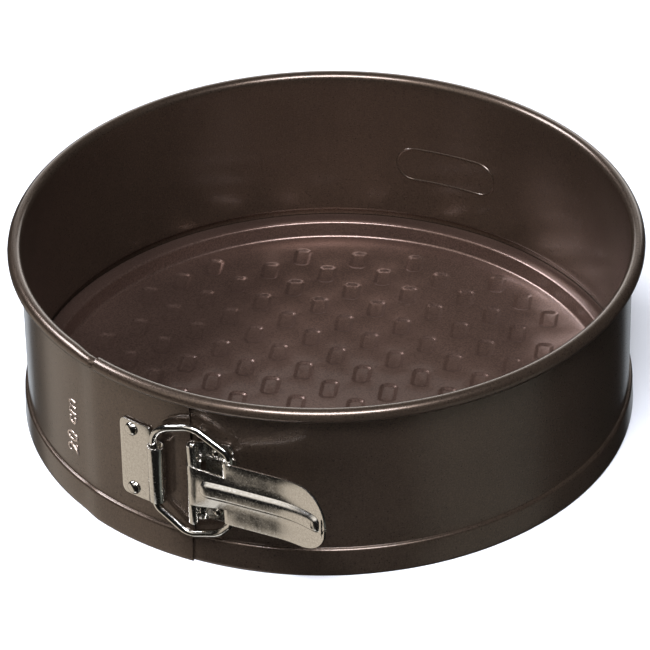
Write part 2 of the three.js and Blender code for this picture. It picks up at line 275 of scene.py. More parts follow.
def coated_sheet(name, light, dark, roughness):
    """Flake lacquer over tinplate: grain from flake, and a slow cloud where the coat is thicker."""
    material = new_material(name)
    place = add_node(material, "ShaderNodeTexCoord", {}, {}).outputs["Object"]
    flake = add_node(material, "ShaderNodeTexNoise", {}, {
        "Vector": place, "Scale": cycles_per(FLAKE), "Detail": 2.0, "Roughness": 0.6})
    cloud = add_node(material, "ShaderNodeTexNoise", {}, {
        "Vector": place, "Scale": cycles_per(CLOUD), "Detail": 2.0, "Roughness": 0.5})
    peel = add_node(material, "ShaderNodeTexNoise", {}, {
        "Vector": place, "Scale": cycles_per(ORANGE_PEEL), "Detail": 1.0, "Roughness": 0.5})
    amount = add_node(material, "ShaderNodeMath", {"operation": "MULTIPLY_ADD"}, {
        0: cloud.outputs["Fac"], 1: 0.35, 2: flake.outputs["Fac"]})
    ramp = add_node(material, "ShaderNodeMapRange", {}, {
        "Value": amount.outputs[0], "From Min": 0.45, "From Max": 0.9})
    paint = add_node(material, "ShaderNodeMix", {"data_type": "RGBA"}, {
        "Factor": ramp.outputs["Result"], "A": colour(dark), "B": colour(light)})
    gloss = add_node(material, "ShaderNodeMapRange", {}, {
        "Value": flake.outputs["Fac"], "To Min": roughness - 0.05, "To Max": roughness + 0.05})
    skin = add_node(material, "ShaderNodeBump", {}, {
        "Height": peel.outputs["Fac"], "Strength": 0.12, "Distance": 0.05 * MM})
    grain = add_node(material, "ShaderNodeBump", {}, {
        "Height": flake.outputs["Fac"], "Normal": skin.outputs["Normal"], "Strength": 0.25,
        "Distance": 0.02 * MM})
    shader = add_node(material, "ShaderNodeBsdfPrincipled", {}, {
        "Base Color": paint.outputs["Result"], "Metallic": 0.75, "Roughness": gloss.outputs["Result"],
        "Normal": grain.outputs["Normal"], "Coat Weight": 0.4, "Coat Roughness": 0.15,
        "Coat Normal": skin.outputs["Normal"]})
    add_node(material, "ShaderNodeOutputMaterial", {}, {"Surface": shader.outputs["BSDF"]})
    return material


bronze = coated_sheet("bronze_nonstick_lacquer_roller_coated", "#5b4c3f", "#41352b", 0.29)
# Painted highlight: the raised letters' coat is much lighter and glossier, standing in for the light on their
# strokes.
letter_highlight_paint = coated_sheet("bronze_lacquer_painted_highlight_on_raised_letters", "#c4b2a2", "#a8978a", 0.2)
rose_bronze = coated_sheet("rose_bronze_nonstick_lacquer_pressed_base", "#745c50", "#503e35", 0.31)
print("made", bronze.name, letter_highlight_paint.name, "and", rose_bronze.name)

# %% [markdown]
# ## Finish: nickel-plated steel
# The latch is pressed and bent from mild steel and barrel plated with nickel. Tumbling in the barrel
# leaves a bright surface with faint pits and soft waviness, so its reflections are broken up a little.

# %% Nickel plate
TUMBLE = 0.7
WAVE = 5.0


def nickel_plate(name, roughness):
    """Barrel-plated nickel: slightly warm, bright, with fine pits and a slow waviness."""
    material = new_material(name)
    place = add_node(material, "ShaderNodeTexCoord", {}, {}).outputs["Object"]
    pits = add_node(material, "ShaderNodeTexNoise", {}, {
        "Vector": place, "Scale": cycles_per(TUMBLE), "Detail": 3.0, "Roughness": 0.65})
    wave = add_node(material, "ShaderNodeTexNoise", {}, {
        "Vector": place, "Scale": cycles_per(WAVE), "Detail": 1.0, "Roughness": 0.4})
    tint = add_node(material, "ShaderNodeMix", {"data_type": "RGBA"}, {
        "Factor": pits.outputs["Fac"], "A": colour("#a9a49a"), "B": colour("#f0ece5")})
    gloss = add_node(material, "ShaderNodeMapRange", {}, {
        "Value": pits.outputs["Fac"], "From Min": 0.3, "From Max": 0.7, "To Min": roughness - 0.06,
        "To Max": roughness + 0.08})
    slow = add_node(material, "ShaderNodeBump", {}, {
        "Height": wave.outputs["Fac"], "Strength": 0.25, "Distance": 0.25 * MM})
    fine = add_node(material, "ShaderNodeBump", {}, {
        "Height": pits.outputs["Fac"], "Normal": slow.outputs["Normal"], "Strength": 0.35,
        "Distance": 0.03 * MM})
    shader = add_node(material, "ShaderNodeBsdfPrincipled", {}, {
        "Base Color": tint.outputs["Result"], "Metallic": 1.0, "Roughness": gloss.outputs["Result"],
        "Normal": fine.outputs["Normal"]})
    add_node(material, "ShaderNodeOutputMaterial", {}, {"Surface": shader.outputs["BSDF"]})
    return material


nickel = nickel_plate("nickel_barrel_plated_pressed_steel", 0.2)
bright_nickel = nickel_plate("nickel_barrel_plated_drawn_wire", 0.14)
print("made", nickel.name, "and", bright_nickel.name)

# %% [markdown]
# ## The ring: one section, spun
# The ring is one strip, rolled to a section with a hooked rim at the top and a shoulder and skirt at
# the foot. The section is drawn once as a line and spun. Where the left end laps over the right end it
# steps out by 0.9 mm and its rim is squeezed to fit inside the other rim, so that stretch is spun from
# its own section and bridged to the rest. The strip flexes at the back when the latch opens. It is
# three pieces that meet edge to edge: two that follow the ends, and one at the back between them.

# %% The section of the ring
SKIRT_OUT = 1.4
CREASE_Z = 9.9
SHOULDER_R = 0.75
FILLET_R = 0.55
TUCK = 0.9
LAP = 19.65
RIM_END = -85
SLIVER = 0.05


def ring_section(tuck, rim_r):
    """The sheet's middle line, from the foot up over the shoulder, the wall and the hooked rim."""
    wall = WALL_R + SHEET / 2 + TUCK * tuck
    skirt = wall + SKIRT_OUT
    crease = CREASE_Z + TUCK * tuck
    rim_z = HEIGHT - SHEET / 2 - BEAD_R
    foot = [(skirt - 0.42, 0.27), (skirt - 0.1, 0.42), (skirt + 0.08, 0.85), (skirt + 0.1, 1.6),
            (skirt, 4.6), (skirt - 0.16, crease - SHOULDER_R - 0.5)]
    shoulder = arc((skirt - SHOULDER_R - 0.2, crease - SHOULDER_R), SHOULDER_R, 0, 80, 6)
    fillet = arc((wall + FILLET_R, crease + FILLET_R), FILLET_R, 255, 180, 5)
    upright = [(wall, crease + 3), (wall, 36.0), (wall, rim_z - 3)]
    return foot + shoulder + fillet + upright + arc((wall + rim_r, rim_z), rim_r, 180, RIM_END, 18)


def draw_section(name, angle, tuck, rim_r):
    """The section as a line, standing at an angle round the pan."""
    return start_line(name, [around(angle, r, z) for r, z in ring_section(tuck, rim_r)])


def spin_on(angle, steps):
    """Spins the selected section on round the pan's axis."""
    bpy.ops.mesh.spin(steps=steps, angle=math.radians(angle), center=(0, 0, 0), axis=(0, 0, -1))


def spin_ring(start, end):
    """Spins from one angle to another, with a sliver at each end so that the shading meets the next piece."""
    sweep = end - start
    way = math.copysign(SLIVER, sweep)
    spin_on(way, 1)
    spin_on(sweep - 2 * way, max(4, round(abs(sweep) / 1.5)))
    spin_on(way, 1)


def sheet_metal(piece, thickness, edge=0.0, offset=0.0, even=True):
    """Gives the drawn surface the thickness of its sheet, and breaks its cut edges."""
    apply(piece, "SOLIDIFY", thickness=thickness * MM, offset=offset, use_even_offset=even)
    if edge:
        apply(piece, "BEVEL", width=edge * MM, segments=2, limit_method="ANGLE",
              angle_limit=math.radians(50), use_clamp_overlap=True)


print("section points", len(ring_section(0, BEAD_R)))

# %% [markdown]
# ## Right end of the ring
# It starts under the lap, 19.65 degrees past the seam, and carries the hinge bracket.

# %% Right end
FRONT_LEFT = -64.5
FRONT_RIGHT = 115.5

ring_right = draw_section("ring_right", -LAP, 0, BEAD_R)
spin_ring(-LAP, FRONT_RIGHT)
sheet_metal(ring_right, SHEET)

# %% [markdown]
# ## Left end of the ring
# From the left the section runs at full size. Over 6.5 degrees the wall steps out and the rim is
# squeezed, through three easing sections, and then the small rim goes inside the other end's rim. The
# open rows of points are bridged.

# %% Left end
STEP_START = -27.2
STEP_END = -20.7
RIM_IN = -19.0
RIM_SQUEEZED = 0.9
RIM_AT_STEP = 1.62
# Each easing section: its angle, its share of the step outward, and its rim's radius.
EASE = ((-22.2, 0.88, 1.72), (-23.9, 0.5, 1.88), (-25.6, 0.12, 2.04))

ring_left = draw_section("ring_left", 0, 1, RIM_SQUEEZED)
spin_on(-SLIVER, 1)
spin_on(RIM_IN + SLIVER, 12)
lap_end = draw_section("lap_end", STEP_END, 1, RIM_AT_STEP)
bpy.ops.object.mode_set(mode="OBJECT")
easing = []
for angle, tuck, rim_r in EASE:
    easing.append(draw_section("easing", angle, tuck, rim_r))
    bpy.ops.object.mode_set(mode="OBJECT")
plain = draw_section("plain", STEP_START, 0, BEAD_R)
spin_ring(STEP_START, FRONT_LEFT)
join_to(ring_left, (lap_end, *easing, plain))
bpy.ops.object.mode_set(mode="EDIT")


def is_at(co, angle):
    """Whether a place, in millimetres, stands at an angle round the pan."""
    return abs(math.degrees(math.atan2(co.x, -co.y)) - angle) < 0.01


stations = [RIM_IN, STEP_END] + [angle for angle, tuck, rim_r in EASE] + [STEP_START]
for pair in zip(stations, stations[1:]):
    choose(ring_left, "EDGE", lambda co: is_at(co, pair[0]) or is_at(co, pair[1]))
    bpy.ops.mesh.bridge_edge_loops(number_cuts=1, interpolation="LINEAR")
bpy.ops.mesh.select_all(action="SELECT")
bpy.ops.mesh.normals_make_consistent(inside=False)
sheet_metal(ring_left, SHEET)

# %% [markdown]
# ## Back of the ring
# The back half of the strip is one smooth arc. On the real pan it bends a little between the two ends as
# the latch opens; here it is fixed to neither end.

# %% Back
ring_back = draw_section("ring_back", FRONT_RIGHT, 0, BEAD_R)
spin_ring(FRONT_RIGHT, FRONT_LEFT + 360)
sheet_metal(ring_back, SHEET)

# %% [markdown]
# ## Pressed marks on the ring
# Close to the seam the press has left short raised lines in both ends, and the left end carries its
# size, struck from inside so that it stands out. Each line is a thin wire of a curve laid half into the
# wall.

# %% Pressed lines
def wall_line(name, places, thickness):
    """A raised line of a given width, laid through places on the wall."""
    line = start_line(name, [around(*place) for place in places])
    bpy.ops.object.mode_set(mode="OBJECT")
    bpy.ops.object.convert(target="CURVE")
    line.data.bevel_depth = thickness / 2 * MM
    line.data.bevel_resolution = 3
    line.data.use_fill_caps = True
    bpy.ops.object.convert(target="MESH")
    return bpy.context.object


OUTSIDE = WALL_R + SHEET
LINE = 1.1
seat_left = OUTSIDE + TUCK - 0.2
seat_right = OUTSIDE - 0.2
join_to(ring_left, [wall_line("pressed_edge", [
    (-5.6, seat_left - 0.2, 50.6), (-5.0, seat_left, 51.7), (-4.2, seat_left, 52.9),
    (-3.0, seat_left, 54.3), (-1.8, seat_left, 55.4), (-0.9, seat_left, 56.0),
    (-0.05, seat_left, 56.3)], LINE)])
join_to(ring_right, [
    wall_line("pressed_edge", [(0.35, seat_right, 57.6), (1.2, seat_right, 58.2), (2.2, seat_right, 58.5),
                               (2.95, seat_right, 58.5), (3.6, seat_right - 0.2, 58.4)], LINE),
    wall_line("pressed_arc", [(1.7, seat_right - 0.2, 50.9), (1.8, seat_right, 51.6),
                              (2.05, seat_right, 52.9), (2.7, seat_right, 54.1),
                              (3.7, seat_right, 54.6), (4.2, seat_right - 0.2, 54.5)], LINE),
    wall_line("pressed_dash", [(8.0, seat_right - 0.2, 53.0), (8.1, seat_right, 52.7),
                               (8.85, seat_right, 50.7), (8.95, seat_right - 0.2, 50.4)], LINE)])
print("pressed lines joined")

# %% [markdown]
# ## The size mark
# "20 cm" is struck up the wall. It is drawn with the built-in letters, made a mesh, and set flat on the
# wall, which curves by only hundredths of a millimetre across one letter. Its raised strokes are painted
# lighter than the coat around them, as a painted highlight, so the mark is a piece of its own, and it
# moves with the left end.

# %% Size mark
MARK_ANGLE = -30.1
MARK_SHIFT = 1.8
MARK_LOW = 18.2
MARK_TALL = 8.4
LETTER_SPACING = 1.05
STROKE_RAISED = 0.05
STROKE_ROUND = 0.34
STROKE_THINNED = -0.3

clear_selection()
bpy.ops.object.text_add(location=(0, 0, 0))
mark = bpy.context.object
mark.name = "size_mark"
mark.data.body = "20 cm"
mark.data.size = MARK_TALL * MM
mark.data.space_character = LETTER_SPACING
mark.data.extrude = STROKE_RAISED * MM
mark.data.bevel_depth = STROKE_ROUND * MM
mark.data.bevel_resolution = 2
mark.data.offset = STROKE_THINNED * MM
bpy.ops.object.convert(target="MESH")
mark.rotation_euler = (math.radians(90), math.radians(-90), math.radians(MARK_ANGLE))
mark.location = around(MARK_ANGLE + MARK_SHIFT, OUTSIDE, MARK_LOW)
bpy.ops.object.transform_apply(location=True, rotation=True, scale=True)
# The strokes get the lighter coat: a painted highlight.
finish_piece(mark, letter_highlight_paint)
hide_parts("band_left")
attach(mark, "left_end")

# %% [markdown]
# ## A blank cartouche inside
# The inner wall at the back has a pressed, round-ended outline about 40 mm long. It is left blank.

# %% Blank outline
CARTOUCHE = {"middle": 180.2, "height": 30.9, "half_long": 18.5, "half_tall": 6.3}


def slot_outline(step_count):
    """Places round a round-ended slot on the inner wall."""
    half, tall = CARTOUCHE["half_long"], CARTOUCHE["half_tall"]
    ends = (arc((half - tall, 0), tall, -90, 90, step_count)
            + arc((tall - half, 0), tall, 90, 270, step_count))
    places = []
    for i, (along, up) in enumerate(ends + ends[:1]):
        angle = CARTOUCHE["middle"] + math.degrees(along / WALL_R)
        places.append((angle, WALL_R + 0.1, CARTOUCHE["height"] + up))
    return places


def finer(places, longest):
    """The same places with more between them, so that a line follows the wall's curve."""
    result = places[:1]
    for here, there in zip(places, places[1:]):
        gap = math.dist((math.radians(here[0]) * WALL_R, here[2]),
                        (math.radians(there[0]) * WALL_R, there[2]))
        count = max(1, math.ceil(gap / longest))
        for i in range(1, count + 1):
            result.append(tuple(a + (b - a) * i / count for a, b in zip(here, there)))
    return result


join_to(ring_back, [wall_line("slot_outline", finer(slot_outline(10), 3.0), 0.8)])
for ring in (ring_right, ring_left, ring_back):
    finish_piece(ring, bronze)
    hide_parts("band_right", "band_left")
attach(ring_right, "right_end")
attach(ring_left, "left_end")
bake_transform(ring_back)

# %% [markdown]
# ## The base plate
# The base is pressed from one sheet: a flat flange that the ring's foot clamps, a steep step, and a
# panel with rows of shallow rounded dimples that let air under the cake. One dimple is shaped by insets
# from a plane with rounded corners, and copied to every other place of a square lattice turned 17.4
# degrees. The flat between the dimples is filled in one go, and the step and the flange are drawn out
# from the panel's edge, ring by ring.

# %% One dimple
PANEL_Z = 1.5
PANEL_R = 94.9
DIMPLE = (6.9, 11.3)
DIMPLE_CORNER = 2.7
# Each inset of a dimple: how far in, and how far down.
DIMPLE_RINGS = ((0.35, 0.04), (0.4, 0.15), (0.4, 0.2), (0.4, 0.14), (0.35, 0.04))
PITCH = 9.98
LATTICE_TURN = 17.4
LATTICE_REACH = 9
DIMPLED_R = 87.0

clear_selection()
bpy.ops.mesh.primitive_plane_add(size=MM)
base = bpy.context.object
base.name = "base_sheet"
bpy.ops.object.mode_set(mode="EDIT")
bpy.ops.mesh.select_mode(type="VERT")
bpy.ops.mesh.select_all(action="SELECT")
bpy.ops.transform.resize(value=(*DIMPLE, 1))
bpy.ops.mesh.bevel(offset=DIMPLE_CORNER * MM, segments=5, affect="VERTICES")
bpy.ops.mesh.select_mode(type="FACE")
bpy.ops.mesh.select_all(action="SELECT")
for across, down in DIMPLE_RINGS:
    bpy.ops.mesh.inset(thickness=across * MM, depth=-down * MM, use_even_offset=False)
bpy.ops.mesh.select_all(action="SELECT")
bpy.ops.transform.rotate(value=-math.radians(LATTICE_TURN), orient_axis="Z", center_override=(0, 0, 0))
bpy.ops.transform.translate(value=(0, 0, PANEL_Z * MM))
bpy.ops.object.mode_set(mode="OBJECT")
depth = min(v.co.z for v in base.data.vertices) / MM
print("one dimple reaches down to", round(depth, 2))

# %% Copies over the lattice
lean = math.radians(LATTICE_TURN)
lattice = []
for i in range(-LATTICE_REACH, LATTICE_REACH + 1):
    for j in range(-LATTICE_REACH, LATTICE_REACH + 1):
        x, y = i * PITCH, j * PITCH
        if (i + j) % 2 == 0 and 0 < math.hypot(x, y) < DIMPLED_R:
            lattice.append(((x * math.cos(lean) - y * math.sin(lean)) * MM,
                            (x * math.sin(lean) + y * math.cos(lean)) * MM, 0))
one_dimple = base.data.copy()
copies = []
for place in lattice:
    copy = bpy.data.objects.new("dimple", one_dimple.copy())
    bpy.context.collection.objects.link(copy)
    copy.location = place
    copies.append(copy)
join_to(base, copies)
print(len(lattice) + 1, "dimples")

# %% The flat between them, the step and the flange
STEP_R = 95.6
BASE_R = 101.05
FLANGE_Z = 7.1
BASE_SHEET = 0.7
EDGE_POINTS = 240

bpy.ops.object.mode_set(mode="EDIT")
bpy.ops.mesh.select_mode(type="VERT")
bpy.ops.mesh.select_all(action="DESELECT")
inner_edge = PANEL_R - 1.2
bpy.ops.mesh.primitive_circle_add(vertices=EDGE_POINTS, radius=inner_edge * MM,
                                  location=(0, 0, PANEL_Z * MM))
bpy.ops.mesh.select_mode(type="EDGE")
bpy.ops.mesh.select_all(action="DESELECT")
bpy.ops.mesh.select_non_manifold(extend=False, use_wire=True, use_boundary=True, use_multi_face=False,
                                 use_non_contiguous=False, use_verts=False)
bpy.ops.mesh.fill(use_beauty=True)
choose(base, "EDGE", lambda co: math.hypot(co.x, co.y) > inner_edge - 0.05)
step = [(PANEL_R - 0.7, PANEL_Z + 0.08), (PANEL_R - 0.3, PANEL_Z + 0.35), (PANEL_R, PANEL_Z + 0.9),
        (STEP_R - 0.1, FLANGE_Z - 1.0), (STEP_R + 0.1, FLANGE_Z - 0.4), (STEP_R + 0.45, FLANGE_Z - 0.1),
        (STEP_R + 0.9, FLANGE_Z), (BASE_R, FLANGE_Z)]
radius, height = inner_edge, PANEL_Z
for next_radius, next_height in step:
    bpy.ops.mesh.extrude_region_move(TRANSFORM_OT_translate={"value": (0, 0, (next_height - height) * MM)})
    grow = next_radius / radius
    bpy.ops.transform.resize(value=(grow, grow, 1), center_override=(0, 0, 0))
    radius, height = next_radius, next_height
bpy.ops.mesh.select_all(action="SELECT")
bpy.ops.mesh.normals_make_consistent(inside=False)
bpy.ops.object.mode_set(mode="OBJECT")
middle = max(base.data.polygons, key=lambda face: face.area)
if middle.normal.z < 0:
    bpy.ops.object.mode_set(mode="EDIT")
    bpy.ops.mesh.flip_normals()
sheet_metal(base, BASE_SHEET, offset=-1.0)
finish_piece(base, rose_bronze, angle=60)
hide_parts("base_plate")
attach(base, "base")
underside = min(v.co.z for v in base.data.vertices) / MM
print("underside at", round(underside, 2))

# %% [markdown]
# ## The catch plate
# A nickel-plated strip is riveted to the left end, and its free edge is curled into a barrel that holds
# one side of the bail. The strip is drawn in plan, raised in rows, cut narrower at the barrel, and
# thickened.

# %% Catch plate
STEEL = 0.7
CATCH_R = 102.15
CATCH_HALF = 14.5
BARREL_HALF = 10.5
BARREL_R = 2.45
PLATE_START = -14.8
PLATE_SWEEP = 6.8
PLATE_CORNER = 2.6
NECK_CORNER = 0.7
CUT_EDGE = 0.14

on_wall = [around(PLATE_START + PLATE_SWEEP * i / 6, CATCH_R, 0) for i in range(7)]
under = [around(-7.4, CATCH_R, 0), around(-6.9, CATCH_R, 0)]
curl = [plan(x, o, 0) for x, o in arc(BARREL, BARREL_R, -84, 195, 28)]
lift = Vector((0, 0, (MID_Z - CATCH_HALF) * MM))
catch = start_line("catch_plate_pressed", [p + lift for p in on_wall + under + curl])
rows([-CATCH_HALF, -BARREL_HALF, 0, BARREL_HALF, CATCH_HALF])
seam = on_wall[-1].x / MM + 0.05


def is_outside_barrel(co):
    """Whether a place lies past the plate and beyond the barrel's ends."""
    curled = co.x > seam - 0.1 or co.y < -CATCH_R - 0.4
    return curled and abs(co.z - MID_Z) > BARREL_HALF - 0.01


choose(catch, "FACE", is_outside_barrel)
bpy.ops.mesh.delete(type="FACE")
left_edge = on_wall[0].x / MM + 0.02
choose(catch, "VERT", lambda co: co.x < left_edge and abs(co.z - MID_Z) > CATCH_HALF - 0.01)
bpy.ops.mesh.bevel(offset=PLATE_CORNER * MM, segments=6, affect="VERTICES")
choose(catch, "VERT", lambda co: abs(co.x - seam) < 0.2 and co.y > -CATCH_R - 0.2
       and abs(co.z - MID_Z) > CATCH_HALF - 0.01)
bpy.ops.mesh.bevel(offset=NECK_CORNER * MM, segments=3, affect="VERTICES")
sheet_metal(catch, STEEL, edge=CUT_EDGE)
finish_piece(catch, nickel)
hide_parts("catch_plate")
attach(catch, "left_end")

# %% [markdown]
# ## The hinge bracket
# A second strip is riveted to the right end. Its free edge is curled into two knuckles round the hinge
# pin, and the lever's tongue turns in the gap between them.

# %% Hinge bracket
BRACKET_HALF = 15.0
BRACKET_R = 101.25
CURL_R = 1.85
TONGUE_GAP = 7.5
BRACKET_START = 2.9
BRACKET_SWEEP = 5.3

knuckle = [plan(x, o, 0) for x, o in arc(PIN, CURL_R, 60, 262, 22)]
leaving = [plan(PIN[0] + 1.2, PIN[1] - CURL_R + 0.03, 0), plan(PIN[0] + 2.1, 102.1, 0)]
on_wall = [around(BRACKET_START + BRACKET_SWEEP * i / 5, BRACKET_R, 0) for i in range(6)]
lift = Vector((0, 0, (MID_Z - BRACKET_HALF) * MM))
bracket = start_line("hinge_bracket_pressed", [p + lift for p in knuckle + leaving + on_wall])
rows([-BRACKET_HALF, -TONGUE_GAP, 0, TONGUE_GAP, BRACKET_HALF])
gap_end = on_wall[0].x / MM + 0.1
choose(bracket, "FACE", lambda co: co.x < gap_end and abs(co.z - MID_Z) < TONGUE_GAP + 0.01)
bpy.ops.mesh.delete(type="FACE")
right_edge = on_wall[-1].x / MM - 0.02
choose(bracket, "VERT", lambda co: co.x > right_edge and abs(co.z - MID_Z) > BRACKET_HALF - 0.01)
bpy.ops.mesh.bevel(offset=PLATE_CORNER * MM, segments=6, affect="VERTICES")
sheet_metal(bracket, STEEL, edge=CUT_EDGE)
finish_piece(bracket, nickel)
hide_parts("hinge_bracket")
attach(bracket, "right_end")

# %% [markdown]
# ## Rivets and the hinge pin
# Tubular rivets with domed heads hold both strips. A rivet is a half section spun round its own axis,
# modelled once for each strip and copied. The pin is a plain steel bar with chamfered ends.

# %% A turned piece
def turned_piece(name, section, steps):
    """Spins a half section, given as radius and height, round the Z axis."""
    piece = start_line(name, [Vector((r, 0, h)) * MM for r, h in section])
    bpy.ops.mesh.spin(steps=steps, angle=math.tau, center=(0, 0, 0), axis=(0, 0, 1))
    bpy.ops.object.mode_set(mode="OBJECT")
    close_up(piece)
    return piece


def place_piece(piece, rotation, location):
    """Turns and moves a piece, and puts its place into its mesh."""
    piece.rotation_euler = rotation
    piece.location = location
    select_only(piece)
    bpy.ops.object.transform_apply(location=True, rotation=True, scale=True)


def copy_piece(piece, name, rise):
    """A copy with its own mesh, raised by a height."""
    select_only(piece)
    bpy.ops.object.duplicate(linked=False)
    copy = bpy.context.object
    copy.name = name
    copy.location.z += rise * MM
    bpy.ops.object.transform_apply(location=True, rotation=True, scale=True)
    return copy


# %% Rivets
HEAD_HIGH = 1.4
SHANK_R = 1.2


def rivet_section(head_r, seat, shank_end, inside_r):
    """Half the rivet's section: from inside the pan out to the top of the dome."""
    inside = [(0, shank_end), (inside_r, shank_end)]
    if inside_r > SHANK_R:
        inside += [(inside_r, shank_end + 0.35), (SHANK_R, shank_end + 0.35)]
    dome = arc((0, seat), head_r, 0, 90, 10)
    lipped = [(r, seat + 0.12 + (h - seat) * (HEAD_HIGH - 0.12) / head_r) for r, h in dome]
    lipped[-1] = (0, seat + HEAD_HIGH)
    return inside + [(SHANK_R, seat), (head_r, seat), *lipped]


# Name, angle, distance from the middle height, (head radius, seat, shank's end, radius inside), and body.
RIVETS = (
    ("catch_rivet", -12.1, 11.4, (2.35, CATCH_R + STEEL / 2, WALL_R + 1.0, SHANK_R), "left_end"),
    ("bracket_rivet", 5.0, 11.3, (1.75, BRACKET_R + STEEL / 2, WALL_R - 0.5, 2.3), "right_end"),
)
for name, angle, rise, shape, body in RIVETS:
    low_rivet = turned_piece(name + "_low", rivet_section(*shape), 28)
    place_piece(low_rivet, (math.radians(90), 0, math.radians(angle)), (0, 0, (MID_Z - rise) * MM))
    high_rivet = copy_piece(low_rivet, name + "_high", 2 * rise)
    for rivet, node in ((low_rivet, name + "_lower"), (high_rivet, name + "_upper")):
        finish_piece(rivet, bright_nickel, angle=40)
        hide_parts(node)
        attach(rivet, body)

# %% Hinge pin
PIN_R = 1.1
PIN_HALF = 15.4
end = PIN_HALF - 0.25
pin = turned_piece("hinge_pin_bar", [
    (0, -PIN_HALF), (0.55, -PIN_HALF), (0.9, -end - 0.1), (PIN_R, -end + 0.15),
    (PIN_R, end - 0.15), (0.9, end + 0.1), (0.55, PIN_HALF), (0, PIN_HALF)], 28)
place_piece(pin, (0, 0, 0), plan(*PIN))
finish_piece(pin, nickel, angle=50)
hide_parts("hinge_pin")
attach(pin, "right_end")

# %% [markdown]
# ## The bail
# The bail is a closed loop of round wire, bent to a long six-sided link. One side turns in the catch
# plate's barrel and the other in the lever's ears. Its corners are drawn as single points, rounded by a
# vertex bevel, and the line is given the wire's thickness as a curve.

# %% Bail
WIRE_R = 1.3
BEND_SHARE = 0.62
# Each corner: its sideways place, its distance from the middle height, and how widely it is bent.
CORNERS = (
    (LEG[0], 14.6, 3.6), (-8.2, 17.9, 3.0), (1.8, 21.0, 4.5), (EAR[0], 13.8, 3.0),
    (EAR[0], -13.2, 1.5), (10.2, -17.8, 3.4), (-0.8, -21.0, 4.5), (LEG[0], -13.0, 3.2),
)


def bail_place(sideways, rise):
    """A place on the bail, which leans slightly from the barrel to the ears."""
    share = (sideways - LEG[0]) / (EAR[0] - LEG[0])
    return plan(sideways, LEG[1] + (EAR[1] - LEG[1]) * share, MID_Z + rise)


bail = start_line("bail_wire", [bail_place(x, z) for x, z, _ in CORNERS])
choose(bail, "VERT", lambda co: (co - bail_place(*CORNERS[0][:2]) / MM).length < 0.01
       or (co - bail_place(*CORNERS[-1][:2]) / MM).length < 0.01)
bpy.ops.mesh.edge_face_add()
for x, z, bend in CORNERS:
    corner = bail_place(x, z) / MM
    choose(bail, "VERT", lambda co: (co - corner).length < 0.01)
    bpy.ops.mesh.bevel(offset=bend * BEND_SHARE * MM, segments=7, affect="VERTICES")
bpy.ops.object.mode_set(mode="OBJECT")
bpy.ops.object.convert(target="CURVE")
bail = bpy.context.object
bail.data.bevel_depth = WIRE_R * MM
bail.data.bevel_resolution = 5
bpy.ops.object.convert(target="MESH")
bail = bpy.context.object
close_up(bail)
finish_piece(bail, bright_nickel, angle=60)
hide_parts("bail")
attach(bail, "bail")

# %% [markdown]
# ## The lever
# The lever is one pressing: a tongue curled round the hinge pin, two ears curled round the bail, and a
# paddle that flares out to a round tip, stiffened by a raised rib. It is drawn in plan down its length
# and raised in rows. The ears and the tongue's curl are spun from their edges, and the rib is raised by
# insets.

# %% Lever sheet
LEVER_SHEET = 0.8
PADDLE_HALF = 11.6
TONGUE_HALF = 7.2
EAR_INNER = 6.1
BEND_X = 31.0
TIP_X = 50.42
TIP_END = 50.5
TIP_TURN = 27.0
TIP_ROUND = 11.0
RIB_HALF = 3.3
CURL_SWEEP = 240
LEVER_EDGE = 0.16
# Each inset of the rib: how far in, and how far out from the sheet.
RIB_RINGS = ((0.35, 0.16), (0.4, 0.48), (0.45, 0.42), (0.6, 0.26), (0.6, 0.08))

paddle_out = EAR[1] + CURL_R
tip_r = (TIP_END - BEND_X) / math.sin(math.radians(TIP_TURN))
straight = [2.2, 3.4, 4.7, 5.3, 6.2, 7.6, 9.6, 12.0, 14.4, 18.0, 22.0, 26.5, BEND_X]
flare = [33.5, 36.0, 38.0, 39.5, 41.0, 42.5, 44.0, 45.3, 46.4, 47.3, 48.1, 48.8, 49.4, 49.9, 50.2, TIP_X]


def lever_out(x):
    """How far outward the lever's sheet lies at a sideways distance."""
    if x < EAR[0]:
        return PIN[1] + CURL_R + (paddle_out - PIN[1] - CURL_R) * (x - PIN[0]) / (EAR[0] - PIN[0])
    if x < BEND_X:
        return paddle_out
    return paddle_out + tip_r - math.sqrt(tip_r ** 2 - (x - BEND_X) ** 2)


low_edge = MID_Z - PADDLE_HALF
lever = start_line("lever_pressing", [plan(x, lever_out(x), low_edge) for x in straight + flare])
rows([-PADDLE_HALF, -8.8, -EAR_INNER, -RIB_HALF, RIB_HALF, EAR_INNER, 8.8, PADDLE_HALF])
choose(lever, "FACE", lambda co: co.x < EAR[0] + 0.01 and abs(co.z - MID_Z) > EAR_INNER - 0.01)
bpy.ops.mesh.delete(type="FACE")
print("lever tip lies", round(lever_out(TIP_X), 1), "mm out")


# %% Narrowing a column of points
def squeeze(x, low, high, share):
    """Scales the column at x, between two distances from the middle height, towards that height."""
    choose(lever, "VERT", lambda co: abs(co.x - x) < 0.01 and low < abs(co.z - MID_Z) < high)
    bpy.ops.transform.resize(value=(1, 1, share), center_override=(0, 0, MID_Z * MM))


RIB_NOSE = ((4.7, 0.3), (5.3, 0.62), (6.2, 0.87))
RIB_TAIL = ((46.4, 0.93), (47.3, 0.82), (48.1, 0.55))
for x, share in RIB_NOSE + RIB_TAIL:
    squeeze(x, 0, RIB_HALF + 0.1, share)
for x in flare:
    if x > TIP_X - TIP_ROUND + 0.2:
        narrow = math.sqrt(max(0.0, 1 - ((x - (TIP_END - TIP_ROUND)) / TIP_ROUND) ** 2))
        squeeze(x, EAR_INNER - 0.1, PADDLE_HALF + 0.1, narrow)
        if narrow < 0.5:
            squeeze(x, 0, RIB_HALF + 0.1, narrow)
for x in straight[:8]:
    widen = TONGUE_HALF / EAR_INNER
    share = 1 + (widen - 1) * min(1.0, (12.0 - x) / 8.0)
    squeeze(x, EAR_INNER - 0.1, EAR_INNER + 0.1, share)

